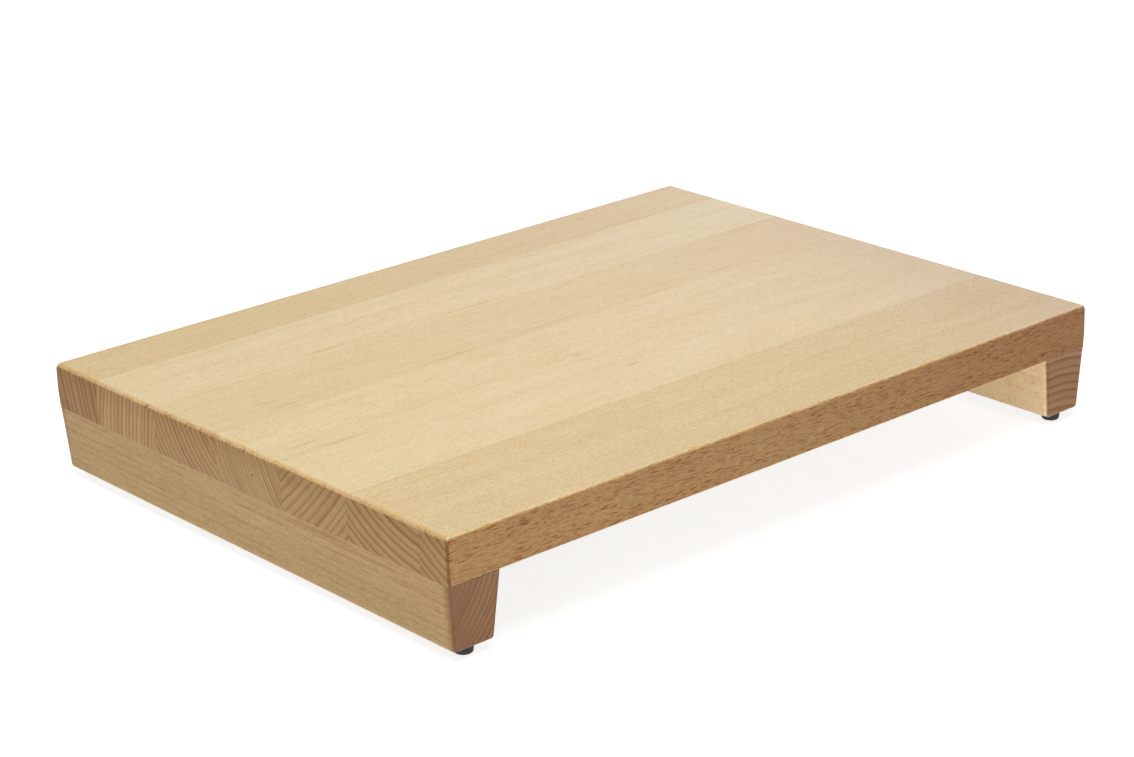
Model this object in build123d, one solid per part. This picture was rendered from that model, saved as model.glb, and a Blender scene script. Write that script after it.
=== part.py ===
"""Raised beech cutting board that spans a sink or stands on a worktop.

An edge-glued panel of long beech staves lies across two tapered beech rails, one under each end.
Three pan-head screws hold each rail from below, deep in counterbores. The middle screw fixes the
panel and the outer ones run in slots, so that the panel can swell and shrink across its grain.
Each rail stands on two rubber feet, each held by a screw through a steel washer moulded into it.

Frame: origin at the centre of the footprint, on the surface that the feet stand on. +X runs along
the board's length and the grain of the staves, the user stands at -Y, and +Z is up. Millimetres.
"""

from build123d import *

import os

# The panel
board_length = 480.0
board_width = 354.0
board_thickness = 26.5
end_roundover_radius = 3.5
long_edge_radius = 2.0
bottom_arris_radius = 0.8

# Its staves, counted from the front edge: a ripped one, full ones, and one that takes the rest
front_stave_width = 21.4
full_stave_width = 58.0

# The lean of both ends, which starts in the panel's edge and runs on down the rails
end_lean = 3.3
end_lean_start = 9.0
end_lean_blend = 60.0

# The rails, each as long as the board is wide at the top and tapered on all four sides
rail_height = 37.3
rail_top_width = 33.6
rail_inner_lean = 4.5
rail_front_lean = 1.7
rail_corner_radius = 2.6
rail_bottom_edge_radius = 2.4

# The pan-head screws that hold a rail
rail_screw_pitch = 115.0
rail_screw_radius = 2.5
rail_screw_length = 45.0
rail_screw_tip_length = 6.0
rail_screw_head_radius = 4.75
rail_screw_head_height = 3.4
rail_screw_drive_size = 5.4
counterbore_depth = 10.0
counterbore_clearance = 0.75
shank_clearance = 0.25
panel_travel = 5.0

# The rubber feet with their moulded-in washers
foot_height = 5.8
foot_top_radius = 5.6
foot_bottom_radius = 5.0
foot_rim_radius = 1.4
foot_end_inset = 11.0
foot_web = 2.0
washer_radius = 2.9
washer_thickness = 0.6
recess_clearance = 0.1

# The pan-head screws that hold the feet
foot_screw_radius = 1.25
foot_screw_length = 16.0
foot_screw_tip_length = 3.5
foot_screw_head_radius = 2.5
foot_screw_head_height = 1.8
foot_screw_drive_size = 2.8
foot_bore_clearance = 0.25

# How a screw sits in the wood, and the shape of its head
pilot_clearance = 0.03
pilot_extra_depth = 1.0
head_round_share = 0.45
drive_slot_share = 0.22
drive_depth_share = 0.6

# Heights and places that follow from the values above
rail_top = foot_height + rail_height
board_top = rail_top + board_thickness
lean_top = rail_top + end_lean_start
front_edge = -board_width / 2
left_end = -board_length / 2
rail_outer_top = left_end + end_lean * end_lean_start / (end_lean_start + rail_height)
rail_outer_bottom = left_end + end_lean
rail_inner_top = rail_outer_top + rail_top_width
rail_inner_bottom = rail_inner_top - rail_inner_lean
rail_front_bottom = front_edge + rail_front_lean
screw_line = (rail_outer_bottom + rail_inner_bottom) / 2
screw_rows = [-rail_screw_pitch, 0.0, rail_screw_pitch]
foot_rows = {
    "front": front_edge + foot_end_inset,
    "back": -front_edge - foot_end_inset,
}
rail_screw_seat = foot_height + counterbore_depth
washer_seat = foot_height - foot_web
foot_screw_seat = washer_seat - washer_thickness


def arris_cut(radius, edge_y, side):
    """What rounding a lower long edge of the panel takes away, along the whole length."""
    centre = (edge_y + side * radius, rail_top + radius)
    square = Pos(edge_y + side * radius / 2, rail_top + radius / 2) * Rectangle(radius, radius)
    section = Plane.YZ * (square - Pos(*centre) * Circle(radius))
    return extrude(section, amount=board_length / 2, both=True)


def pilot_hole(place, seat, shank_radius, length):
    """The hole that a screw's shank and point fill, drilled a little deeper than the screw."""
    depth = length + pilot_extra_depth
    x, y = place
    return Pos(x, y, seat) * Cylinder(
        shank_radius + pilot_clearance, depth, align=(Align.CENTER, Align.CENTER, Align.MIN)
    )


def panel_section():
    """The panel seen from the front: rounded over at the top, leaning in from above the joint."""
    outline = Polyline(
        (left_end, board_top),
        (left_end, lean_top),
        (rail_outer_top, rail_top),
        (-rail_outer_top, rail_top),
        (-left_end, lean_top),
        (-left_end, board_top),
        close=True,
    )
    section = make_face(outline)
    tops = section.vertices().filter_by_position(Axis.Y, board_top, board_top)
    section = fillet(tops, end_roundover_radius)
    bends = section.vertices().filter_by_position(Axis.Y, lean_top, lean_top)
    return Plane.XZ * fillet(bends, end_lean_blend)


def panel():
    """The whole glued-up panel, softened all round, before it is told apart into staves."""
    body = extrude(panel_section(), amount=board_width / 2, both=True)
    around = body.faces().filter_by(Axis.Y).edges()
    around = around.filter_by(lambda edge: edge.center().Z > rail_top + bottom_arris_radius)
    body = fillet(around, long_edge_radius)
    body -= arris_cut(bottom_arris_radius, front_edge, 1)
    body -= arris_cut(bottom_arris_radius, -front_edge, -1)
    for side in (-1, 1):
        for row in screw_rows:
            place = (-side * screw_line, row)
            body -= pilot_hole(place, rail_screw_seat, rail_screw_radius, rail_screw_length)
    return body


def stave_widths():
    """Widths from the front edge back. The last stave is never under half a full one."""
    full_count = int((board_width - front_stave_width) / full_stave_width - 0.5)
    last = board_width - front_stave_width - full_count * full_stave_width
    return [front_stave_width] + [full_stave_width] * full_count + [last]


def staves():
    """The panel parted at its glue lines, front to back."""
    whole = panel()
    pieces = []
    near = front_edge
    for width in stave_widths():
        slab = Pos(0, near + width / 2, rail_top + board_thickness / 2) * Box(
            board_length, width, board_thickness
        )
        pieces.append(whole & slab)
        near += width
    return pieces


def screw_passage(radius, row):
    """The outline of a hole for a rail screw: round in the middle, a slot towards the ends."""
    if row == 0:
        return Circle(radius)
    return SlotCenterToCenter(panel_travel, 2 * radius, rotation=90)


def tapered_side(outer_top, inner_top, outer_bottom, inner_bottom):
    """A side of a rail as a face, level at the joint and at the feet."""
    outline = Polyline(
        (outer_top, rail_top),
        (inner_top, rail_top),
        (inner_bottom, foot_height),
        (outer_bottom, foot_height),
        close=True,
    )
    return make_face(outline)


def left_rail():
    """The tapered bar under the left end, with its counterbores and pilot holes."""
    across = tapered_side(rail_outer_top, rail_inner_top, rail_outer_bottom, rail_inner_bottom)
    along = tapered_side(front_edge, -front_edge, rail_front_bottom, -rail_front_bottom)
    body = extrude(Plane.XZ * across, amount=board_width / 2, both=True)
    body &= extrude(Plane.YZ * along, amount=board_length / 2, both=True)

    corners = body.edges().filter_by(lambda edge: edge.bounding_box().size.Z > rail_height / 2)
    body = fillet(corners, rail_corner_radius)
    body = fillet(body.faces().sort_by(Axis.Z)[0].edges(), rail_bottom_edge_radius)

    for row in screw_rows:
        bore = screw_passage(rail_screw_radius + shank_clearance, row)
        pocket = screw_passage(rail_screw_head_radius + counterbore_clearance, row)
        body -= Pos(screw_line, row, foot_height) * extrude(bore, amount=rail_height)
        body -= Pos(screw_line, row, foot_height) * extrude(pocket, amount=counterbore_depth)
    for row in foot_rows.values():
        body -= pilot_hole((screw_line, row), foot_screw_seat, foot_screw_radius, foot_screw_length)
    return body


def pan_head_screw(shank_radius, length, tip_length, head_radius, head_height, drive_size):
    """A wood screw that points up, with the underside of its head at height 0."""
    outline = Polyline(
        (0, -head_height),
        (head_radius, -head_height),
        (head_radius, 0),
        (shank_radius, 0),
        (shank_radius, length - tip_length),
        (0, length),
        close=True,
    )
    body = revolve(make_face(Plane.XZ * outline), axis=Axis.Z)
    body = fillet(body.edges().sort_by(Axis.Z)[0], head_height * head_round_share)
    slot_width = drive_size * drive_slot_share
    slot_depth = head_height * drive_depth_share
    for turn in (0, 90):
        slot = Rot(0, 0, turn) * Box(drive_size, slot_width, 2 * slot_depth)
        body -= Pos(0, 0, -head_height) * slot
    return body


def rail_screws(side):
    """The screws of one rail, as separate solids in one group."""
    screw = pan_head_screw(
        rail_screw_radius,
        rail_screw_length,
        rail_screw_tip_length,
        rail_screw_head_radius,
        rail_screw_head_height,
        rail_screw_drive_size,
    )
    x = -side * screw_line
    return Compound(children=[Pos(x, row, rail_screw_seat) * screw for row in screw_rows])


def rubber_foot():
    """A moulded foot: a slightly tapered disc, open below for the screw's head and the washer."""
    outline = Polyline(
        (0, foot_height),
        (foot_top_radius, foot_height),
        (foot_bottom_radius, 0),
        (0, 0),
        close=True,
    )
    body = revolve(make_face(Plane.XZ * outline), axis=Axis.Z)
    body = fillet(body.edges().sort_by(Axis.Z)[0], foot_rim_radius)
    from_below = (Align.CENTER, Align.CENTER, Align.MIN)
    recess = Cylinder(washer_radius + recess_clearance, washer_seat, align=from_below)
    bore = Cylinder(foot_screw_radius + foot_bore_clearance, foot_height, align=from_below)
    return body - recess - bore


def foot_washer():
    """The steel washer at the bottom of the foot's recess, above the screw's head."""
    from_below = (Align.CENTER, Align.CENTER, Align.MIN)
    disc = Cylinder(washer_radius, washer_thickness, align=from_below)
    bore = Cylinder(foot_screw_radius + foot_bore_clearance, washer_thickness, align=from_below)
    return Pos(0, 0, foot_screw_seat) * (disc - bore)


def foot_screw():
    """The screw that holds a foot, with its head against the washer."""
    return Pos(0, 0, foot_screw_seat) * pan_head_screw(
        foot_screw_radius,
        foot_screw_length,
        foot_screw_tip_length,
        foot_screw_head_radius,
        foot_screw_head_height,
        foot_screw_drive_size,
    )


def build():
    """Every sub-part by its node name."""
    nodes = {}
    for number, stave in enumerate(staves(), start=1):
        nodes[f"stave_{number}"] = stave

    rail = left_rail()
    nodes["left_rail"] = rail
    nodes["right_rail"] = mirror(rail, about=Plane.YZ)
    nodes["left_rail_screws"] = rail_screws(-1)
    nodes["right_rail_screws"] = rail_screws(1)

    foot_pieces = {"foot": rubber_foot(), "foot_washer": foot_washer(), "foot_screw": foot_screw()}
    for side, x in (("left", screw_line), ("right", -screw_line)):
        for end, y in foot_rows.items():
            for name, piece in foot_pieces.items():
                nodes[f"{end}_{side}_{name}"] = Pos(x, y, 0) * piece
    return nodes


os.makedirs("parts", exist_ok=True)
for node, shape in build().items():
    export_step(shape, f"parts/{node}.step")
print("staves, front to back:", stave_widths())
print("overall:", board_length, "x", board_width, "x", board_top)
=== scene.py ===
"""Looks of the raised beech cutting board: wood, rubber and steel, a pale studio and the camera.

Every stave and rail is cut from its own log. A log is a ring centre, a ring width and a tone, and
the wood's rings, rays and fibres are worked out in space from them, so that end grain, edges and
faces agree with each other on every side. Metres in the scene, millimetres inside the wood.
"""

from math import hypot, pi

import bpy
from mathutils import Matrix, Vector


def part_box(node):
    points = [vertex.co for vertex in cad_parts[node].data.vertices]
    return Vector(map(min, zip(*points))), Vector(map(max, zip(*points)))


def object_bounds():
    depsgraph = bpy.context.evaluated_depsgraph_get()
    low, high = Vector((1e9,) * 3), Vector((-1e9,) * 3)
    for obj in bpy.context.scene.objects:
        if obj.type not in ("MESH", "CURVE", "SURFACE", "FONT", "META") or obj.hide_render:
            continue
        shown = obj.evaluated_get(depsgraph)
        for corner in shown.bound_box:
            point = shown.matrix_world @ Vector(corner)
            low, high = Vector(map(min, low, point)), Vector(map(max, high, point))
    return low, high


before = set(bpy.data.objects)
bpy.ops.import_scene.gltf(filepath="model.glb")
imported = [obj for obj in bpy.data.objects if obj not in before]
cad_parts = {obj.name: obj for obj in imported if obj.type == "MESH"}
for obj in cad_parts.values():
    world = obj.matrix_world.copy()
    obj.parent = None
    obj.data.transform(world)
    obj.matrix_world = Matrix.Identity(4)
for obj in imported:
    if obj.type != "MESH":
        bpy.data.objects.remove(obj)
cad_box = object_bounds()

MM = 0.001
scene = bpy.context.scene

# Where things are, read from the frame
JOINT_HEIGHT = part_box("left_rail")[1][2]
BOARD_TOP = cad_box[1][2]

# The photograph: its width, and the camera that saw it, with its angles in radians
PHOTO_WIDTH = 1134
FOCAL_LENGTH_PIXELS = 2958.5
SENSOR_WIDTH = 36.0
CAMERA_PLACE = (-1.0463, -1.2165, JOINT_HEIGHT + 0.5972)
CAMERA_HEADING = 0.7064
CAMERA_DIP = 0.3569
CAMERA_ROLL = -0.0333

# The sockets of a colour mix node
MIX_SHARE, MIX_FIRST, MIX_SECOND, MIX_RESULT = 0, 6, 7, 2


class Graph:
    """A short way to write a node tree. A value given to an input is a number, a colour as red,
    green and blue, or the output of another node."""

    def __init__(self, tree):
        self.tree = tree

    def add(self, kind, inputs=None, **settings):
        node = self.tree.nodes.new(kind)
        for name, value in settings.items():
            setattr(node, name, value)
        for name, value in (inputs or {}).items():
            self.feed(node.inputs[name], value)
        return node

    def feed(self, socket, value):
        if isinstance(value, bpy.types.NodeSocket):
            self.tree.links.new(value, socket)
        elif socket.type == "RGBA":
            socket.default_value = (*value, 1.0)
        else:
            socket.default_value = value

    def math(self, operation, *values):
        node = self.add("ShaderNodeMath", operation=operation)
        for socket, value in zip(node.inputs, values):
            self.feed(socket, value)
        return node.outputs[0]

    def plus(self, first, second):
        return self.math("ADD", first, second)

    def minus(self, first, second):
        return self.math("SUBTRACT", first, second)

    def times(self, first, *others):
        for other in others:
            first = self.math("MULTIPLY", first, other)
        return first

    def over(self, first, second):
        return self.math("DIVIDE", first, second)

    def times_plus(self, first, second, third):
        return self.math("MULTIPLY_ADD", first, second, third)

    def square(self, value):
        return self.math("POWER", value, 2.0)

    def size(self, value):
        """The value without its sign."""
        return self.math("ABSOLUTE", value)

    def between(self, share, first, second):
        """The first value where the share is 0, the second where it is 1, and a blend elsewhere."""
        if isinstance(first, float) and isinstance(second, float):
            return self.times_plus(share, second - first, first)
        return self.times_plus(share, self.minus(second, first), first)

    def smooth(self, value, start, end):
        """0 at the start, 1 at the end, and a smooth rise between them."""
        node = self.add("ShaderNodeMapRange", interpolation_type="SMOOTHSTEP")
        for name, number in (("Value", value), ("From Min", start), ("From Max", end)):
            self.feed(node.inputs[name], number)
        return node.outputs[0]

    def vector(self, x, y, z):
        return self.add("ShaderNodeCombineXYZ", {"X": x, "Y": y, "Z": z}).outputs[0]

    def noise(self, place, detail, roughness, seed):
        """Noise from about -1 to 1, whose features are about one unit of the place across."""
        shifted = self.add("ShaderNodeVectorMath", {0: place, 1: (seed, seed * 1.7, seed * 2.3)})
        inputs = {"Vector": shifted.outputs[0], "Scale": 1.0, "Detail": detail, "Roughness": roughness}
        node = self.add("ShaderNodeTexNoise", inputs)
        return self.times_plus(node.outputs["Fac"], 2.0, -1.0)

    def mix(self, share, first, second, blend_type="MIX"):
        node = self.add("ShaderNodeMix", data_type="RGBA", blend_type=blend_type)
        for index, value in ((MIX_SHARE, share), (MIX_FIRST, first), (MIX_SECOND, second)):
            self.feed(node.inputs[index], value)
        return node.outputs[MIX_RESULT]

    def tint(self, colour, by, share=1.0):
        """A colour multiplied by another, wholly or by a share."""
        return self.mix(share, colour, by, "MULTIPLY")


def new_material(name):
    """An empty material, its graph and its shader node."""
    material = bpy.data.materials.new(name)
    material.use_nodes = True
    tree = material.node_tree
    tree.nodes.clear()
    graph = Graph(tree)
    shader = graph.add("ShaderNodeBsdfPrincipled")
    output = graph.add("ShaderNodeOutputMaterial")
    tree.links.new(shader.outputs[0], output.inputs["Surface"])
    return material, graph, shader


def roughen(graph, shader, height, strength, depth):
    """Gives a surface a relief, from its height, its strength and its depth in metres."""
    bump = graph.add("ShaderNodeBump", {"Strength": strength, "Distance": depth, "Height": height})
    graph.feed(shader.inputs["Normal"], bump.outputs[0])


# How much the seed grows from log to log, and how high above the joint rays have their true width
SEED_STEP = 17.0
WOOD_MIDDLE = 13.0

# The noises of the wood: size in mm along the grain, across it and in height, detail, roughness,
# and what is added to the log's seed
NOISES = {
    "wander": ((320.0, 120.0, 120.0), 1.0, 0.5, 0),
    "wobble": ((40.0, 7.0, 7.0), 2.0, 0.5, 3),
    "fibre": ((6.0, 0.8, 0.8), 3.0, 0.65, 11),
    "cloud": ((60.0, 13.0, 13.0), 2.0, 0.5, 17),
    "tear": ((0.9, 0.9, 0.9), 2.0, 0.6, 19),
    "pores": ((0.5, 0.5, 0.5), 1.0, 0.5, 23),
    "nicks": ((0.8, 0.9, 0.8), 1.0, 0.5, 29),
    "grain": ((1.6, 0.8, 0.8), 2.0, 0.6, 31),
}

# Rings: how far they wander and wobble in mm, how far their spacing drifts, in rings, over how many
# rings, and the detail, roughness and seed of that drift
RING_WANDER = 3.0
RING_WOBBLE = 0.45
SPACING_DRIFT = 0.55
DRIFT_RINGS = 2.2
DRIFT_NOISE = (1.0, 0.5, 5)

# The dark late wood: where it rises and falls, in shares of a ring, the power that narrows it, and
# its mean
LATE_RISE = (0.34, 0.92)
LATE_FALL = (1.0, 0.95)
LATE_POWER = 1.2
LATE_MEAN = 0.27

# Rays and bands: size in mm along the grain, round the log and out from its centre. Then the detail,
# roughness and seed of the bands
DASH_CELL = (10.0, 0.35, 14.0)
FINE_DASH_CELL = (9.0, 0.33, 14.0)
SPECK_CELL = (0.8, 1.0, 2.8)
FLECK_CELL = (4.0, 0.36, 10.0)
BAND_CELL = (60.0, 4.5, 4.5)
BAND_NOISE = (3.0, 0.6, 13)

# Rays: their size in a cell, the share of cells that hold one, and their seed. A ray has between two
# shares of that size, its core has a share of its own size, and some rays are fainter than others.
# Clustered rays come out with the wobble
DASH_SIZE = 0.50
DASH_SEED = 0.0
FLECK_SIZE = 0.48
FLECK_SHARE = 0.9
FLECK_SEED = 7.0
RAY_SIZES = (0.6, 1.2)
RAY_CORE = 0.35
RAY_FADE = 0.3
CLUSTERS = (-0.05, 0.25)

# Where the wood counts as end grain, by how far its surface is cut across the grain, and where that
# ends below the rounded top, with how far the tearing moves both. Then where a long face is upright
END_GRAIN = (0.30, 0.85)
END_TEAR = 0.10
BELOW_ROUND = (0.68, 0.30)
ROUND_TEAR = 0.12
UPRIGHT = (0.3, 0.8)

# How much each part of the figure darkens end grain. For the long faces the logs say it
END_DASHES = 0.05
END_FLECKS = -0.10
END_FIBRE = 0.04
END_BANDS = 0.05

# How much other things darken end grain and the long faces, and how far a glue line reaches in mm
YEARS = (0.20, 0.04)
PORES = (0.13, 0.0)
CLOUDS = (0.09, 0.06)
GLUE = (0.25, 0.06)
GLUE_LINE = 0.22

# Rings show on the long faces in patches of the bands. On the left rail's ends they fade towards
# its outer side, from one place to another beside the rail's middle, and so does the tone
RING_PATCHES = (-0.30, 0.40)
FADE_PLACES = (10.0, -16.0)
FADED_RINGS = 0.25
FADED_TONE = 0.86

# The rounded end edge, and the nicks in it where cut fibres meet it: where they are, by the cut, the
# slope and the wobble, how dark they are, and how dirty
ROUND_DARK = 0.15
ROUND_CUT = (0.10, 1.0)
ROUND_LEVEL = (0.1, 0.4)
NICK_CUT = (0.40, 0.60)
NICK_LEVEL = (0.25, 0.45)
NICK_GROUPS = (-0.25, 0.20)
NICK_SIZE = (0.06, 0.24)
NICK_DARK = 0.36
NICK_DIRT = 0.26
DIRT = (0.12, 0.10, 0.08)

# How much of its red, green and blue the wood loses as it gets darker: on level faces, then on the
# other faces of a stave and of a rail
LYING = (0.5, 0.9)
LEVEL_DROPS = (0.72, 1.00, 1.90)
STAVE_DROPS = (0.65, 1.09, 1.13)
RAIL_DROPS = (0.64, 1.00, 1.38)

# Cloudy parts are warmer
CLOUD_TINT = (1.0, 0.97, 0.93)

# The long arris between the top and an edge: where the tone changes, its lower part with its rough
# grain and a warm painted highlight, and its crest with a pale, bluish painted highlight
TONE_CHANGE = (0.68, 0.97)
ARRIS_ASIDE = (0.72, 0.95)
ARRIS_LEVEL = (0.02, 0.25)
ARRIS_HIGHLIGHT = (1.16, 1.12, 0.90)
ARRIS_GRAIN = 0.30
CREST_RISE = (0.05, 0.50)
CREST_FALL = (0.95, 0.70)
CREST_LEVEL = (0.1, 0.4)
CREST_HIGHLIGHT = (1.13, 1.20, 1.38)

# The top of a stave's end, scorched by the cutter: where that sets in, in mm below the top, on the
# rounded edge and by the cut, and the shares of the depth and of the rounded edge in it
SCORCH_DEPTHS = (14.0, 3.0)
SCORCH_LEVEL = (0.1, 0.6)
SCORCH_CUT = (0.0, 0.75)
SCORCH_BY_DEPTH = 0.55
SCORCH_BY_LEVEL = 0.45
SCORCH_TINT = (0.84, 0.78, 0.69)

# The upright corners, browned by the sander on the staves, and grey painted shade on the rails:
# where the band begins and ends, by how far the surface is cut across the grain, and its tint. It
# stops where the surface turns level
PANEL_CORNER = ((0.0, 0.28), (0.95, 0.68), (0.50, 0.37, 0.34))
RAIL_CORNER_SHADE = ((0.30, 0.70), (1.0, 0.88), (0.71, 0.72, 0.71))
CORNER_LEVEL = (0.35, 0.2)

# The left rail is browned as well over the last part of its long faces
BROWNED_LENGTH = 7.5
BROWNED_TINT = (0.60, 0.46, 0.44)

# How tones change along a piece, by shares of its half length: the level faces are painted paler
# and bluer towards the far end, a painted sheen. Then where a stave's change over its last part on
# the right sets in, in mm from the middle
FAR_SHARES = (-0.1, 1.2)
FAR_FACE_SHEEN = (1.04, 1.05, 1.18)
RIGHT_PART = (110.0, 250.0)

# Where a piece's back or right side begins, by its slope. It may have its own tone: the right rail's
# inside is painted paler than its outside, as painted light for the light under the board
OTHER_SIDE = (0.0, 0.3)

# Marks: how far the noise roughens their outline, and how their edge fades. Marks on the top lie
# where the surface faces up, and those on the left side where it faces left
MARK_ROUGHNESS = 0.45
MARK_EDGE = (1.3, 0.1)
FACES_UP = (0.5, 0.9)
FACES_LEFT = (-0.1, -0.4)

# Oiled wood has a soft sheen on its top, duller on its edges and on end grain
END_ROUGHNESS = 0.62
FACE_ROUGHNESS = 0.48
FIBRE_ROUGHNESS = 0.05
UPRIGHT_SHEEN = 0.2
LEVEL_SHEEN = 0.45
WOOD_IOR = 1.45

# The wood's relief: its strength and its depth in metres, and what each part adds to it
WOOD_RELIEF = (0.35, 0.00008)
DASH_RELIEF = -0.6
FIBRE_RELIEF = 0.5
NICK_RELIEF = -3.0
PORE_RELIEF = (0.6, 0.0)


class Wood:
    """The beech of one stave or rail, worked out in millimetres from the log it is cut from."""

    def __init__(self, graph, log):
        self.graph = graph
        self.log = log
        self.find_place()
        self.noise = {
            name: graph.noise(self.stretched(self.place, cell), detail, roughness, log["seed"] + shift)
            for name, (cell, detail, roughness, shift) in NOISES.items()
        }
        self.find_rings()
        self.find_rays()
        self.find_cut()
        self.find_nicks()

    def stretched(self, place, cell):
        """A place counted in cells, so that what is drawn there takes the size of a cell."""
        return self.graph.vector(*(self.graph.over(value, size) for value, size in zip(place, cell)))

    def find_place(self):
        """The place along and across the grain, and how far the surface faces each way."""
        graph = self.graph
        place = graph.add("ShaderNodeTexCoord").outputs["Object"]
        parts = graph.add("ShaderNodeSeparateXYZ", {0: place}).outputs
        self.x, self.y, self.height = (graph.over(part, MM) for part in parts)
        normal = graph.add("ShaderNodeNewGeometry").outputs["Normal"]
        self.normal_x, normal_y, self.normal_z = graph.add("ShaderNodeSeparateXYZ", {0: normal}).outputs
        if self.log["lengthwise"]:
            self.along, self.across = self.x, self.y
            normal_along, self.normal_across = self.normal_x, normal_y
        else:
            self.along, self.across = self.y, self.x
            normal_along, self.normal_across = normal_y, self.normal_x
        self.place = (self.along, self.across, self.height)
        self.across_grain = graph.size(normal_along)
        self.aside = graph.size(self.normal_across)
        self.level = graph.size(self.normal_z)

    def find_rings(self):
        """Rings round the log's centre, which wander along the length and wobble from ring to ring."""
        graph, log = self.graph, self.log
        centre_across, centre_height = log["centre"]
        out = graph.times_plus(self.along, log["lean"], graph.minus(self.across, centre_across))
        up = graph.minus(self.height, centre_height)
        reach = graph.math("SQRT", graph.plus(graph.square(out), graph.square(up)))
        reach = graph.times_plus(self.noise["wander"], RING_WANDER, reach)
        self.reach = graph.times_plus(self.noise["wobble"], RING_WOBBLE, reach)
        count = graph.over(self.reach, log["ring"])
        slow = graph.vector(graph.over(count, DRIFT_RINGS), 0.0, 0.0)
        detail, roughness, shift = DRIFT_NOISE
        drift = graph.noise(slow, detail, roughness, log["seed"] + shift)
        count = graph.times_plus(drift, SPACING_DRIFT, count)
        share = graph.math("FRACT", count)
        late = graph.times(graph.smooth(share, *LATE_RISE), graph.smooth(share, *LATE_FALL))
        self.late = graph.math("POWER", late, LATE_POWER)
        year = graph.math("FLOOR", count)
        tone = graph.add("ShaderNodeTexWhiteNoise", {"W": year}, noise_dimensions="1D")
        self.year_tone = tone.outputs["Value"]

        # Round the log, in mm at the middle of the piece
        middle_height = JOINT_HEIGHT / MM + WOOD_MIDDLE
        radius = hypot(log["middle"] - centre_across, middle_height - centre_height)
        self.round_log = graph.times(graph.math("ARCTAN2", up, out), radius)

    def rays(self, cell, size, density, shift):
        """Spindle-shaped rays: 1 in the middle of a ray and 0 between the rays."""
        graph, seed = self.graph, self.log["seed"]
        place = self.stretched((self.along, self.round_log, self.reach), cell)
        shifted = graph.add("ShaderNodeVectorMath", {0: place, 1: (seed + shift, shift, seed)})
        cells = graph.add("ShaderNodeTexVoronoi", {"Vector": shifted.outputs[0], "Scale": 1.0})
        random = graph.add("ShaderNodeSeparateColor", {0: cells.outputs["Color"]}).outputs
        there = graph.smooth(random[0], 1.0 - density, 1.0 - density + RAY_FADE)
        edge = graph.times(graph.between(random[1], *RAY_SIZES), size)
        inside = graph.smooth(cells.outputs["Distance"], edge, graph.times(edge, RAY_CORE))
        return graph.times(there, inside)

    def find_rays(self):
        """Rays are thin sheets that stand out from the log's centre, and bands follow them."""
        graph, log = self.graph, self.log
        self.dash = self.rays(log["dash_cell"], DASH_SIZE, log["dash_share"], DASH_SEED)
        if log["clustered"]:
            self.dash = graph.times(self.dash, graph.smooth(self.noise["wobble"], *CLUSTERS))
        self.fleck = self.rays(FLECK_CELL, FLECK_SIZE, FLECK_SHARE, FLECK_SEED)
        banded = self.stretched((self.along, self.round_log, self.reach), BAND_CELL)
        detail, roughness, shift = BAND_NOISE
        self.band = graph.noise(banded, detail, roughness, log["seed"] + shift)

    def find_cut(self):
        """Where the surface is end grain, with a torn edge, and where a long face is upright."""
        graph, log, tear = self.graph, self.log, self.noise["tear"]
        torn = graph.times_plus(tear, END_TEAR, self.across_grain)
        below = graph.times_plus(tear, ROUND_TEAR, self.level)
        self.end = graph.times(graph.smooth(torn, *END_GRAIN), graph.smooth(below, *BELOW_ROUND))
        self.upright = graph.smooth(self.aside, *UPRIGHT)
        fade_places = (log["middle"] + place for place in FADE_PLACES)
        self.faded = graph.times(graph.smooth(self.across, *fade_places), log["end_fades"])

    def find_nicks(self):
        """A row of nicks in the rounded end edge."""
        graph = self.graph
        self.nick = graph.times(
            graph.smooth(self.noise["nicks"], *NICK_SIZE),
            graph.smooth(self.across_grain, *NICK_CUT),
            graph.smooth(self.level, *NICK_LEVEL),
            graph.smooth(self.noise["wobble"], *NICK_GROUPS),
        )

    def on(self, end_amount, face_amount):
        """An amount that differs between end grain and the other faces."""
        return self.graph.between(self.end, face_amount, end_amount)

    def on_all(self, end_amount, level_amount, upright_amount):
        """An amount that differs between end grain, level faces and upright long faces."""
        return self.on(end_amount, self.graph.between(self.upright, level_amount, upright_amount))

    def figure(self):
        """How much darker than its plain tone the wood is, from its rings, rays and fibres."""
        graph, log, noise = self.graph, self.log, self.noise
        ring_patches = graph.smooth(self.band, *RING_PATCHES)
        on_faces = graph.times(ring_patches, log["face_rings"])
        on_ends = graph.between(self.faded, log["end_rings"], log["end_rings"] * FADED_RINGS)
        dark = graph.times(graph.minus(self.late, LATE_MEAN), self.on(on_ends, on_faces))
        for part, amount in (
            (graph.minus(self.year_tone, 0.5), self.on(*YEARS)),
            (self.dash, self.on_all(END_DASHES, *log["dashes"])),
            (self.fleck, self.on_all(END_FLECKS, *log["flecks"])),
            (noise["fibre"], self.on_all(END_FIBRE, *log["fibre"])),
            (self.band, self.on_all(END_BANDS, *log["bands"])),
            (noise["pores"], self.on(*PORES)),
            (noise["grain"], self.on(0.0, log["grain"])),
            (noise["cloud"], self.on(*CLOUDS)),
        ):
            dark = graph.times_plus(part, amount, dark)
        return dark

    def oval(self, first, second, mark, rough):
        """The strength of an oval mark inside it, and 0 away from it, with a rough edge."""
        graph = self.graph
        middle_first, middle_second, size_first, size_second, strength = mark
        from_first = graph.over(graph.minus(first, middle_first), size_first / 2)
        from_second = graph.over(graph.minus(second, middle_second), size_second / 2)
        away = graph.plus(graph.square(from_first), graph.square(from_second))
        away = graph.times_plus(rough, MARK_ROUGHNESS, away)
        return graph.times(graph.smooth(away, *MARK_EDGE), strength)

    def top_mark(self, mark):
        """A darker or paler mark on the cutting surface, drawn out along the grain."""
        shape = self.oval(self.x, self.y, mark, self.noise["fibre"])
        return self.graph.times(shape, self.graph.smooth(self.normal_z, *FACES_UP))

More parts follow.
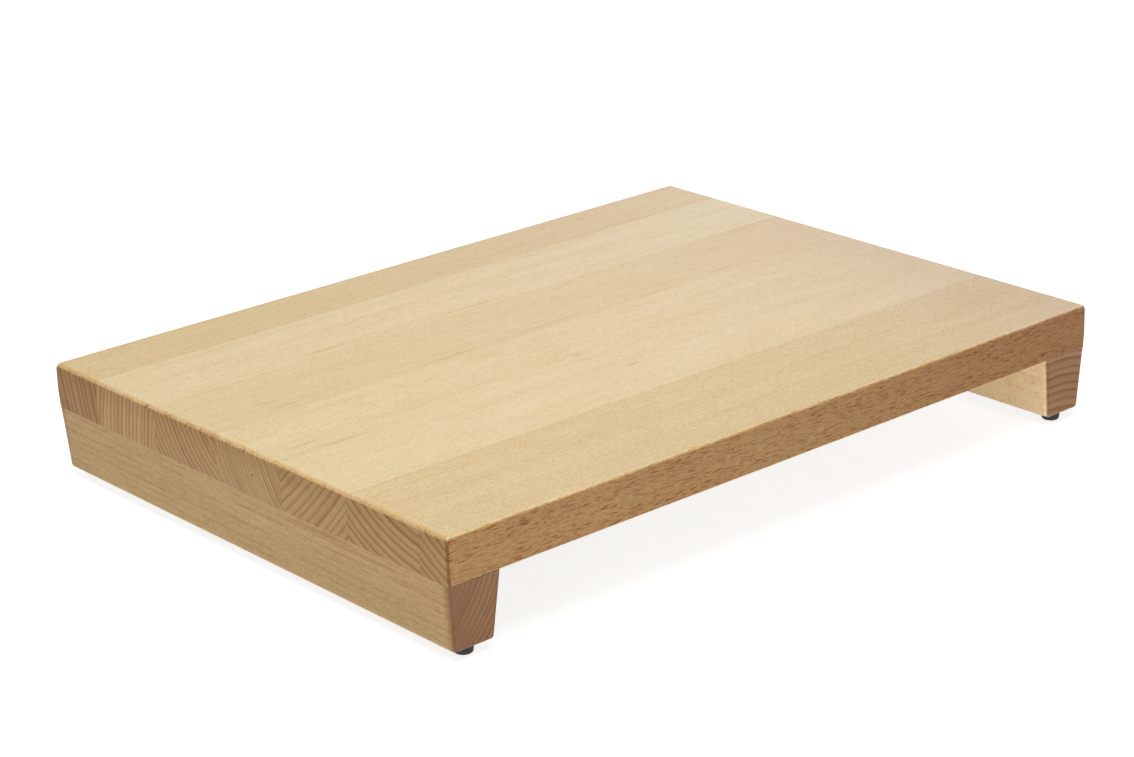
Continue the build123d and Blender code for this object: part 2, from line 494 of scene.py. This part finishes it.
    def left_mark(self, mark, rough):
        """A dark spot, streak or nick on the left side, given by its height above the joint."""
        place_y, above_joint, *rest = mark
        mark = (place_y, above_joint + JOINT_HEIGHT / MM, *rest)
        shape = self.oval(self.y, self.height, mark, rough)
        return self.graph.times(shape, self.graph.smooth(self.normal_x, *FACES_LEFT))

    def darkness(self):
        """The figure with the marks, the glue lines and what the tools left."""
        graph, log = self.graph, self.log
        dark = self.figure()
        for mark in log["marks"]:
            dark = graph.plus(dark, self.top_mark(mark))
        for line in log["glue_lines"]:
            gap = graph.size(graph.minus(self.across, line))
            dark = graph.plus(dark, graph.times(graph.smooth(gap, GLUE_LINE, 0.0), self.on(*GLUE)))
        round_edge = graph.times(
            graph.smooth(self.across_grain, *ROUND_CUT), graph.smooth(self.level, *ROUND_LEVEL)
        )
        dark = graph.times_plus(round_edge, ROUND_DARK, dark)
        dark = graph.times_plus(self.nick, NICK_DARK, dark)
        for mark in log["streaks"]:
            dark = graph.plus(dark, self.left_mark(mark, self.noise["fibre"]))
        return graph.times_plus(graph.times(self.arris(), self.noise["grain"]), ARRIS_GRAIN, dark)

    def arris(self):
        """1 on the lower part of the rounded long edges."""
        aside = self.graph.smooth(self.aside, *ARRIS_ASIDE)
        return self.graph.times(aside, self.graph.smooth(self.level, *ARRIS_LEVEL))

    def plain_tone(self):
        """The wood's colour before its figure, by face and by the place along the piece. It holds
        painted light: a sheen on the level faces towards the far end, a highlight on the arris, shade
        on the front of the first stave towards the right, and the right rail's inside painted paler.
        """
        graph, log = self.graph, self.log
        far = graph.smooth(self.along, *(share * log["reach"] for share in FAR_SHARES))
        # Painted shade: an edge may be painted darker towards the far end
        edge = graph.mix(far, log["edge"], log["far_edge"])
        # Painted light: the right rail's inside is painted paler than its outside
        edge = graph.mix(graph.smooth(self.normal_across, *OTHER_SIDE), edge, log["other_edge"])
        # Painted sheen: the level faces are painted paler and bluer towards the far end
        level = graph.mix(far, log["face"], log["far_face"])
        level = graph.tint(level, log["right_end"], graph.smooth(self.along, *RIGHT_PART))
        face = graph.mix(graph.smooth(self.aside, *TONE_CHANGE), level, edge)
        face = graph.tint(face, CLOUD_TINT, graph.times_plus(self.noise["cloud"], 0.5, 0.5))
        # Painted highlight: the lower part of the arris is painted lighter and warmer
        face = graph.tint(face, ARRIS_HIGHLIGHT, self.arris())
        near_end = graph.smooth(graph.size(self.along), log["reach"] - BROWNED_LENGTH, log["reach"])
        face = graph.tint(face, BROWNED_TINT, graph.times(near_end, log["browned"]))
        end = graph.tint(log["end"], graph.between(self.faded, 1.0, FADED_TONE))
        return graph.mix(self.end, face, end)

    def dimmed(self, colour):
        """The colour made darker by the figure, which takes more of its blue than of its red."""
        graph, dark = self.graph, self.darkness()
        lying = graph.smooth(self.level, *LYING)
        drops = [
            graph.between(lying, -upright, -flat)
            for upright, flat in zip(self.log["upright_drops"], LEVEL_DROPS)
        ]
        return graph.tint(colour, graph.vector(*(graph.times_plus(dark, drop, 1.0) for drop in drops)))

    def browned_and_shaded_corners(self, colour):
        """The upright corners are darkened in a band that stops where the surface turns level: browned
        on the staves, painted shade on the rails.
        """
        graph = self.graph
        rise, fall, corner_tint = self.log["corner"]
        corner = graph.times(
            graph.smooth(self.across_grain, *rise),
            graph.smooth(self.across_grain, *fall),
            graph.smooth(self.level, *CORNER_LEVEL),
        )
        return graph.tint(colour, corner_tint, corner)

    def scorched_top(self, colour):
        """The upper part of a stave's end is darker, and most of all its rounded edge."""
        graph = self.graph
        depth = graph.minus(BOARD_TOP / MM, self.height)
        by_depth = graph.times(graph.smooth(depth, *SCORCH_DEPTHS), SCORCH_BY_DEPTH)
        rounded = graph.smooth(self.level, *SCORCH_LEVEL)
        scorch = graph.times_plus(rounded, SCORCH_BY_LEVEL, by_depth)
        scorch = graph.times(scorch, graph.smooth(self.across_grain, *SCORCH_CUT))
        return graph.tint(colour, SCORCH_TINT, scorch)

    def crest_highlight(self, colour):
        """A painted highlight: the top is painted paler and bluer until its long edge turns down."""
        graph = self.graph
        crest = graph.times(
            graph.smooth(self.aside, *CREST_RISE),
            graph.smooth(self.aside, *CREST_FALL),
            graph.smooth(self.level, *CREST_LEVEL),
        )
        return graph.tint(colour, CREST_HIGHLIGHT, crest)

    def dirtied(self, colour):
        """Dirt in the nicks and in the spots of the left side."""
        graph = self.graph
        dirt = graph.times(self.nick, NICK_DIRT)
        for mark in self.log["spots"]:
            dirt = graph.plus(dirt, self.left_mark(mark, self.noise["tear"]))
        return graph.tint(colour, DIRT, dirt)

    def colour(self):
        """The plain tone with its figure, what the tools left, painted shade on the rail corners, a
        painted highlight on the crest, and the dirt.
        """
        colour = self.browned_and_shaded_corners(self.dimmed(self.plain_tone()))
        if self.log["lengthwise"]:
            # The crest of a stave's top gets a painted highlight
            colour = self.crest_highlight(self.scorched_top(colour))
        return self.dirtied(colour)

    def relief(self):
        """Rays and nicks are sunk a little, fibres stand out, and end grain is rough with pores."""
        graph = self.graph
        relief = graph.times_plus(self.dash, DASH_RELIEF, graph.times(self.noise["fibre"], FIBRE_RELIEF))
        relief = graph.times_plus(self.nick, NICK_RELIEF, relief)
        return graph.times_plus(self.noise["pores"], self.on(*PORE_RELIEF), relief)


def beech(name, log):
    """The material of one stave or rail."""
    material, graph, shader = new_material(name)
    wood = Wood(graph, log)
    roughness = wood.on(END_ROUGHNESS, FACE_ROUGHNESS)
    roughness = graph.times_plus(wood.noise["fibre"], FIBRE_ROUGHNESS, roughness)
    graph.feed(shader.inputs["Base Color"], wood.colour())
    graph.feed(shader.inputs["Roughness"], roughness)
    sheen = graph.between(wood.level, UPRIGHT_SHEEN, LEVEL_SHEEN)
    graph.feed(shader.inputs["Specular IOR Level"], sheen)
    shader.inputs["IOR"].default_value = WOOD_IOR
    roughen(graph, shader, wood.relief(), *WOOD_RELIEF)
    return material


# What each piece is cut from and what was seen on it, in millimetres and shares:
# centre and ring are the ring centre in the plane across the grain and the ring width, read off the
# rings at the left end, and lean is how far the log leans per length;
# end_rings and face_rings are how much the rings darken end grain and the other faces;
# dashes, flecks, fibre and bands are how much each darkens level faces and upright long faces;
# tones are the colours of the level faces, the upright long faces and the end grain;
# right_end is how the level face changes over the last part on the right;
# marks on the cutting surface are x, y, length, width and how dark;
# spots and streaks on the left side are y, height above the joint, width, height and how dark.
LOGS = {
    "stave_1": dict(
        centre=(-253, 200), ring=4.9, lean=0.004, end_rings=0.44, face_rings=0.04,
        dashes=(0.05, 0.54), flecks=(0.20, 0.30), fibre=(0.11, 0.24), bands=(0.04, 0.08),
        tones=((0.705, 0.538, 0.288), (0.565, 0.350, 0.149), (0.355, 0.217, 0.097)),
        right_end=(0.96, 0.95, 1.06), dash_cell=FINE_DASH_CELL, dash_share=0.98, grain=0.30,
        # The front is painted darker towards the right: painted shade
        far_edge_share=(0.86, 0.72, 0.71),
    ),
    "stave_2": dict(
        centre=(-175, 158), ring=5.1, lean=-0.006, end_rings=0.50, face_rings=0.03,
        dashes=(0.07, 0.30), flecks=(0.22, 0.22), fibre=(0.11, 0.16), bands=(0.04, 0.10),
        tones=((0.71, 0.537, 0.285), (0.54, 0.333, 0.158), (0.363, 0.223, 0.101)),
        right_end=(0.92, 0.90, 0.97), grain=0.30,
        marks=[(158, -126, 44, 11, -0.05), (218, -94, 9, 5, -0.12)],
    ),
    "stave_3": dict(
        centre=(82, 210), ring=4.45, lean=0.008, end_rings=0.38, face_rings=0.03,
        dashes=(0.05, 0.30), flecks=(0.17, 0.22), fibre=(0.10, 0.16), bands=(0.04, 0.10),
        tones=((0.78, 0.622, 0.368), (0.54, 0.342, 0.162), (0.384, 0.241, 0.110)),
        right_end=(0.89, 0.88, 0.91),
        marks=[(-12, -61, 11, 2.0, 0.26)],
        spots=[(-50, 21, 13, 13, 0.10)],
    ),
    "stave_4": dict(
        centre=(-319, 212), ring=2.8, lean=-0.003, end_rings=0.44, face_rings=0.04,
        dashes=(0.05, 0.30), flecks=(0.18, 0.22), fibre=(0.11, 0.16), bands=(0.04, 0.10),
        tones=((0.77, 0.610, 0.353), (0.54, 0.342, 0.162), (0.392, 0.255, 0.120)),
        right_end=(0.92, 0.88, 0.91),
        marks=[
            (-215, -27, 26, 3.0, 0.16), (-195, -37, 36, 2.8, 0.16), (-57, 8, 14, 9, 0.07),
            (-23, -28, 9, 4, 0.10), (-25, -37, 14, 2.4, 0.10),
        ],
        spots=[(-15, 13, 1.7, 1.9, 0.60), (-8, 25, 1.8, 3.2, 0.50), (-37, 6, 7, 15, 0.08)],
    ),
    "stave_5": dict(
        centre=(-35, 113), ring=4.0, lean=0.010, end_rings=0.42, face_rings=0.04,
        dashes=(0.05, 0.30), flecks=(0.18, 0.22), fibre=(0.11, 0.16), bands=(0.05, 0.10),
        tones=((0.745, 0.580, 0.324), (0.54, 0.342, 0.162), (0.376, 0.232, 0.106)),
        right_end=(0.96, 0.92, 0.95),
        marks=[
            (-191, 37, 20, 7, 0.10), (-187, 27, 24, 2.6, 0.18), (140, 24, 28, 2.4, 0.20),
            (129, 36, 16, 4, 0.07), (-71, 23, 38, 3.0, 0.13), (-3, 25, 76, 3.4, 0.09),
        ],
        spots=[(28, 22, 9, 14, 0.09), (45, 25, 1.8, 2.0, 0.30)],
    ),
    "stave_6": dict(
        centre=(1424, 350), ring=3.75, lean=-0.005, end_rings=0.40, face_rings=0.06,
        dashes=(0.03, 0.30), flecks=(0.14, 0.22), fibre=(0.09, 0.16), bands=(0.05, 0.10),
        tones=((0.775, 0.618, 0.366), (0.54, 0.342, 0.162), (0.413, 0.264, 0.121)),
        right_end=(1.00, 1.03, 1.06),
        marks=[(-118, 83, 32, 3.0, 0.13), (-15, 81, 56, 3.4, 0.09), (37, 108, 6, 1.8, 0.20)],
        spots=[(84, 25, 4.0, 2.2, 0.50)],
    ),
    "stave_7": dict(
        centre=(289, 29), ring=4.8, lean=0.004, end_rings=0.42, face_rings=0.04,
        dashes=(0.05, 0.40), flecks=(0.18, 0.22), fibre=(0.11, 0.16), bands=(0.05, 0.10),
        tones=((0.71, 0.532, 0.285), (0.50, 0.315, 0.150), (0.337, 0.191, 0.086)),
        right_end=(1.03, 1.04, 1.10),
        marks=[(13, 143, 16, 4, 0.08)],
        spots=[(168, 4, 14, 9, 0.14)],
    ),
    "left_rail": dict(
        centre=(-298, 76), ring=3.2, lean=0.010, end_rings=0.40, face_rings=0.26,
        dashes=(0.10, 0.16), flecks=(0.16, 0.22), fibre=(0.12, 0.28), bands=(0.12, 0.18),
        tones=((0.52, 0.36, 0.185), (0.445, 0.305, 0.148), (0.352, 0.186, 0.098)),
        browned=1.0, end_fades=1.0,
        spots=[(-95, -28, 250, 26, 0.065)],
        streaks=[
            (-72, -2.6, 74, 2.8, 0.26), (-118, -4.6, 62, 2.2, 0.24), (-150, -8.5, 40, 2.0, 0.18),
            (-98, -13, 66, 1.8, 0.13), (-20, -9, 60, 1.8, 0.12), (60, -20, 80, 2.0, 0.10),
        ],
    ),
    "right_rail": dict(
        centre=(216, -46), ring=4.9, lean=0.006, end_rings=0.46, face_rings=0.07,
        dashes=(0.10, 0.42), flecks=(0.16, 0.06), fibre=(0.10, 0.14), bands=(0.08, 0.12),
        # Its upright tone, for its inside, is painted paler than its outside: painted light under the
        # board
        tones=((0.66, 0.49, 0.290), (0.93, 0.735, 0.503), (0.445, 0.240, 0.126)),
        dash_cell=SPECK_CELL, dash_share=0.60, clustered=True, other_edge=(0.57, 0.385, 0.190),
    ),
}

# What a log has where its own row says nothing else:
# dash_cell and dash_share are the size of its rays and the share of cells that hold one, and where
# it is clustered they come in groups; grain is how much the finest noise darkens its long faces;
# far_edge_share is how its edge is painted darker towards the right, as painted shade; where browned
# is 1 the last part of its long faces is browned, and where end_fades is 1 the rings of its ends
# fade towards the left
UNCHANGED = (1.0, 1.0, 1.0)
COMMON = dict(
    dash_cell=DASH_CELL, dash_share=0.85, clustered=False, grain=0.20, right_end=UNCHANGED,
    far_edge_share=UNCHANGED, browned=0.0, end_fades=0.0, marks=[], spots=[], streaks=[],
)


def shaded(colour, shares):
    """A colour with its red, green and blue each taken by a share."""
    return [tone * share for tone, share in zip(colour, shares)]


def whole_log(number, name):
    """All that a piece's wood is made from: its row, its place in the frame and what follows."""
    low, high = ([value / MM for value in corner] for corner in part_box(name))
    is_stave = name.startswith("stave")
    length, width = (0, 1) if is_stave else (1, 0)
    log = {**COMMON, **LOGS[name]}
    log["lengthwise"] = is_stave
    log["middle"] = (low[width] + high[width]) / 2
    log["reach"] = (high[length] - low[length]) / 2
    log["seed"] = SEED_STEP * (number + 1)
    log["glue_lines"] = [low[width], high[width]] if is_stave else []
    log["corner"] = PANEL_CORNER if is_stave else RAIL_CORNER_SHADE
    log["upright_drops"] = STAVE_DROPS if is_stave else RAIL_DROPS
    log["face"], log["edge"], log["end"] = log["tones"]
    log["far_face"] = shaded(log["face"], FAR_FACE_SHEEN)
    log["far_edge"] = shaded(log["edge"], log["far_edge_share"])
    log.setdefault("other_edge", log["edge"])
    return log


def dress_wood():
    """Gives each stave and rail its own wood."""
    for number, name in enumerate(LOGS):
        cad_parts[name].data.materials[0] = beech(name + "_beech", whole_log(number, name))


# Rubber: its clean and its dusty black, where the dust begins, its least and its greatest roughness,
# its relief as strength and depth, and the scale and detail of its grain and dust
CLEAN_RUBBER = (0.022, 0.021, 0.020)
DUSTY_RUBBER = (0.046, 0.044, 0.041)
DUST_EDGE = (0.45, 0.75)
RUBBER_ROUGHNESS = (0.48, 0.73)
RUBBER_RELIEF = (0.3, 0.00005)
RUBBER_GRAIN = (2600.0, 3.0)
RUBBER_DUST = (180.0, 4.0)

# Steel, given in the same way: its plating is blotchy and its relief is the marks of turning
DARK_PLATING = (0.50, 0.50, 0.49)
PALE_PLATING = (0.66, 0.65, 0.61)
STEEL_ROUGHNESS = (0.24, 0.44)
STEEL_RELIEF = (0.2, 0.00002)
STEEL_BLOTCHES = (420.0, 3.0)
STEEL_TURNING = (5200.0, 1.0)


def texture(graph, scale, detail):
    """Plain noise over the object, from 0 to 1, with so many features to the metre."""
    place = graph.add("ShaderNodeTexCoord").outputs["Object"]
    inputs = {"Vector": place, "Scale": scale, "Detail": detail}
    return graph.add("ShaderNodeTexNoise", inputs).outputs["Fac"]


def rubber():
    """Matt black moulded rubber with a faint dusty grain."""
    material, graph, shader = new_material("moulded_rubber")
    grain = texture(graph, *RUBBER_GRAIN)
    worn = graph.smooth(texture(graph, *RUBBER_DUST), *DUST_EDGE)
    graph.feed(shader.inputs["Base Color"], graph.mix(worn, CLEAN_RUBBER, DUSTY_RUBBER))
    graph.feed(shader.inputs["Roughness"], graph.between(grain, *RUBBER_ROUGHNESS))
    roughen(graph, shader, grain, *RUBBER_RELIEF)
    return material


def plated_steel():
    """Zinc-plated steel with fine turning marks and a slightly blotchy plating."""
    material, graph, shader = new_material("zinc_plated_steel")
    blotch = texture(graph, *STEEL_BLOTCHES)
    graph.feed(shader.inputs["Base Color"], graph.mix(blotch, DARK_PLATING, PALE_PLATING))
    shader.inputs["Metallic"].default_value = 1.0
    graph.feed(shader.inputs["Roughness"], graph.between(blotch, *STEEL_ROUGHNESS))
    roughen(graph, shader, texture(graph, *STEEL_TURNING), *STEEL_RELIEF)
    return material


def dress_fittings():
    """Rubber on the feet, steel on every screw and washer."""
    black, steel = rubber(), plated_steel()
    for name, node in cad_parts.items():
        if name.endswith("_foot"):
            node.data.materials[0] = black
        elif name.endswith(("_screws", "_screw", "_washer")):
            node.data.materials[0] = steel


# Light, in shares of the plain level at which a colour renders as it is written
WORLD_LEVEL = 0.08
KEY_LEVEL = 0.94
KEY_PLACE = (-0.42, -0.30, 1.85)
KEY_SIZE = 1.4
FILL_LEVEL = 0.46
FILL_PLACE = (-2.60, -1.40, 0.28)
FILL_SIZE = 0.5
SHEEN_LEVEL = 0.06
SHEEN_PLACE = (1.60, 1.70, 0.80)
SHEEN_SIZE = 0.9
WARM_LIGHT = (1.0, 0.985, 0.96)
COOL_LIGHT = (0.90, 0.95, 1.0)
WHITE = (1.0, 1.0, 1.0)

# The floor: its half size, how pale it is to the light that it throws back and to the eye, and how
# much white is added to what is seen of it
FLOOR_HALF = 6.0
FLOOR_BOUNCE = (0.85, 0.85, 0.85)
FLOOR_SEEN = (0.45, 0.45, 0.45)
FLOOR_GLOW = 0.84


def seen_rays(graph):
    """1 for what the camera sees, directly or in a gloss or through glass, and 0 for other light."""
    path = graph.add("ShaderNodeLightPath").outputs
    seen = graph.math("MAXIMUM", path["Is Camera Ray"], path["Is Glossy Ray"])
    return graph.math("MAXIMUM", seen, path["Is Transmission Ray"])


def make_world():
    """A white background that lights the object only a little."""
    world = bpy.data.worlds.new("studio")
    world.use_nodes = True
    world.node_tree.nodes.clear()
    graph = Graph(world.node_tree)
    level = graph.between(seen_rays(graph), WORLD_LEVEL, 1.0)
    back = graph.add("ShaderNodeBackground", {"Color": WHITE, "Strength": level})
    output = graph.add("ShaderNodeOutputWorld")
    world.node_tree.links.new(back.outputs[0], output.inputs["Surface"])
    scene.world = world


def make_lamp(name, place, aim, size, level, colour):
    """A square soft lamp that gives the aimed point this share of the plain level."""
    lamp = bpy.data.lights.new(name, "AREA")
    lamp.shape = "SQUARE"
    lamp.size = size
    lamp.color = colour
    holder = bpy.data.objects.new(name, lamp)
    holder.location = place
    reach = Vector(aim) - holder.location
    lamp.energy = level * pi ** 2 * reach.length ** 2
    holder.rotation_euler = reach.to_track_quat("-Z", "Y").to_euler()
    scene.collection.objects.link(holder)


def make_lamps():
    """A large soft lamp above, a low one that reaches under the board, and a cool one at the back."""
    low, high = cad_box
    make_lamp("key", KEY_PLACE, (0.0, 0.0, high[2]), KEY_SIZE, KEY_LEVEL, WARM_LIGHT)
    make_lamp("fill", FILL_PLACE, (low[0], low[1], JOINT_HEIGHT), FILL_SIZE, FILL_LEVEL, WARM_LIGHT)
    make_lamp("sheen", SHEEN_PLACE, (high[0], high[1], high[2]), SHEEN_SIZE, SHEEN_LEVEL, COOL_LIGHT)


def make_floor():
    """A white floor that keeps a soft shadow and shows white elsewhere."""
    mesh = bpy.data.meshes.new("floor")
    signs = ((-1, -1), (1, -1), (1, 1), (-1, 1))
    corners = [(x * FLOOR_HALF, y * FLOOR_HALF, 0.0) for x, y in signs]
    mesh.from_pydata(corners, [], [(0, 1, 2, 3)])
    floor = bpy.data.objects.new("floor", mesh)
    scene.collection.objects.link(floor)
    material, graph, shader = new_material("white_floor")
    seen = seen_rays(graph)
    graph.feed(shader.inputs["Base Color"], graph.mix(seen, FLOOR_BOUNCE, FLOOR_SEEN))
    shader.inputs["Roughness"].default_value = 1.0
    shader.inputs["Specular IOR Level"].default_value = 0.0
    graph.feed(shader.inputs["Emission Color"], WHITE)
    graph.feed(shader.inputs["Emission Strength"], graph.times(seen, FLOOR_GLOW))
    mesh.materials.append(material)


def make_camera():
    """The camera of the photograph: its heading is turned from +Y towards +X."""
    data = bpy.data.cameras.new("camera")
    data.sensor_width = SENSOR_WIDTH
    data.lens = FOCAL_LENGTH_PIXELS / PHOTO_WIDTH * SENSOR_WIDTH
    camera = bpy.data.objects.new("camera", data)
    turn = Matrix.Rotation(-CAMERA_HEADING, 4, "Z") @ Matrix.Rotation(pi / 2 - CAMERA_DIP, 4, "X")
    turn = turn @ Matrix.Rotation(CAMERA_ROLL, 4, "Z")
    camera.matrix_world = Matrix.Translation(CAMERA_PLACE) @ turn
    scene.collection.objects.link(camera)
    scene.camera = camera


dress_wood()
dress_fittings()
make_world()
make_lamps()
make_floor()
make_camera()
scene.view_settings.view_transform = "Standard"
